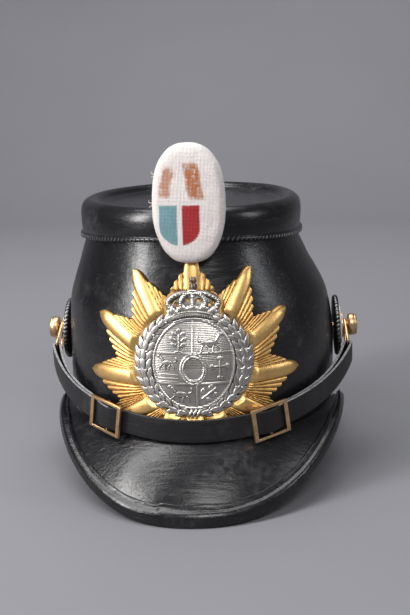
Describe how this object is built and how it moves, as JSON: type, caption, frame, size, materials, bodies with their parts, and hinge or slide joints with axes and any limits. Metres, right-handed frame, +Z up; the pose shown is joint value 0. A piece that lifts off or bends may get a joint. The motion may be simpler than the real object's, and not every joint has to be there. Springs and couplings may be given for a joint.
{
  "type": "leather shako hat with star plate, field badge and chin strap",
  "caption": "Hollow oval leather shako with front and rear peaks, a sunburst front plate with wreath, crown and shield, a padded badge above it, side cockades and a buckled chin strap.",
  "frame": {"origin": "middle of the bounding box, on the surface that the hat's two peaks rest on", "axes": "+Z up, -Y towards the front peak, +X towards the wearer's left side"},
  "size_m": [0.204, 0.2812, 0.2052],
  "materials": {
    "crown_leather": "polished black, aged",
    "strap_leather": "dull black with grey cut edges",
    "gilt_brass": "struck and gilt, slightly dulled",
    "white_metal": "struck, darkened in the hollows",
    "fitting_brass": "plain, worn",
    "badge_cotton": "fine woven cotton over padding",
    "cockade_black": "black with a fluted silver edge",
    "disc_white": "matt white"
  },
  "bodies": {
    "root": {"crown_body": "crown_leather", "crown_top": "crown_leather", "front_peak": "crown_leather", "front_peak_binding": "crown_leather", "rear_peak": "crown_leather", "star_plate": "gilt_brass", "wreath_and_crown": "white_metal", "oval_shield": "white_metal", "field_badge": "badge_cotton", "badge_pin": "fitting_brass", "chin_strap": "strap_leather", "buckle_left": "fitting_brass", "buckle_right": "fitting_brass", "cockade_left": "cockade_black", "cockade_right": "cockade_black", "cockade_washer_left": "disc_white", "cockade_washer_right": "disc_white", "side_post_left": "fitting_brass", "side_post_right": "fitting_brass", "strap_loop_left": "fitting_brass", "strap_loop_right": "fitting_brass"}
  },
  "joints": []
}
